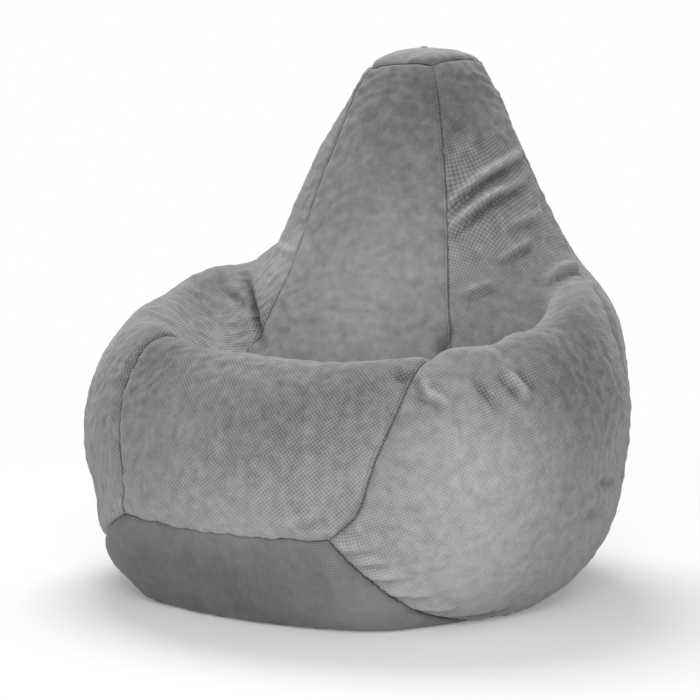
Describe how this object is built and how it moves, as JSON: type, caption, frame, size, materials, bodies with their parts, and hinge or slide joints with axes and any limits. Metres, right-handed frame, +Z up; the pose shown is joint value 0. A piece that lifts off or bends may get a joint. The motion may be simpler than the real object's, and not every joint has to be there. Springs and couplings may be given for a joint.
{
  "type": "bean bag chair",
  "caption": "Soft pear-shaped floor seat of sewn cloth gores with a pressed-in seat, raised back, zipped rear seam and bead filling.",
  "frame": {"origin": "on the floor, below the middle of the bag", "axes": "+Z up, the seat opens towards -Y, +X is the right side as seen from the front"},
  "size_m": [0.8942, 0.8294, 0.8663],
  "materials": {
    "velour": "soft grey velour with a fine dotted weave",
    "base_cloth": "smooth darker grey cloth",
    "liner_cloth": "thin plain white cloth",
    "beads": "white expanded beads",
    "eyelet_metal": "dark lacquer",
    "zip_tape": "woven tape",
    "zip_coil": "moulded coil",
    "zip_metal": "dark grey lacquer"
  },
  "bodies": {
    "bag": {"front_gore": "velour", "right_gore": "velour", "right_rear_gore": "velour", "left_rear_gore": "velour", "left_gore": "velour", "bottom_panel": "base_cloth", "top_panel": "velour", "liner_front_gore": "liner_cloth", "liner_right_gore": "liner_cloth", "liner_right_rear_gore": "liner_cloth", "liner_left_rear_gore": "liner_cloth", "liner_left_gore": "liner_cloth", "liner_bottom": "liner_cloth", "liner_top": "liner_cloth", "bead_fill": "beads", "vent_eyelet": "eyelet_metal", "vent_washer": "eyelet_metal", "zip_tape_left": "zip_tape", "zip_tape_right": "zip_tape", "zip_coil_left": "zip_coil", "zip_coil_right": "zip_coil", "zip_top_stop_left": "zip_metal", "zip_top_stop_right": "zip_metal", "zip_bottom_stop": "zip_metal"},
    "slider": {"zip_slider": "zip_metal"},
    "pull": {"zip_pull": "zip_metal"}
  },
  "joints": [
    {"name": "zip_travel", "type": "hinge", "parent": "bag", "child": "slider", "pos_m": [0, -0.51898, 0.265], "axis": [1, 0, 0], "range_deg": [-23.9, 0]},
    {"name": "pull_swing", "type": "hinge", "parent": "slider", "child": "pull", "pos_m": [0, 0.35714, 0.5833], "axis": [1, 0, 0], "range_deg": [0, 150]}
  ]
}
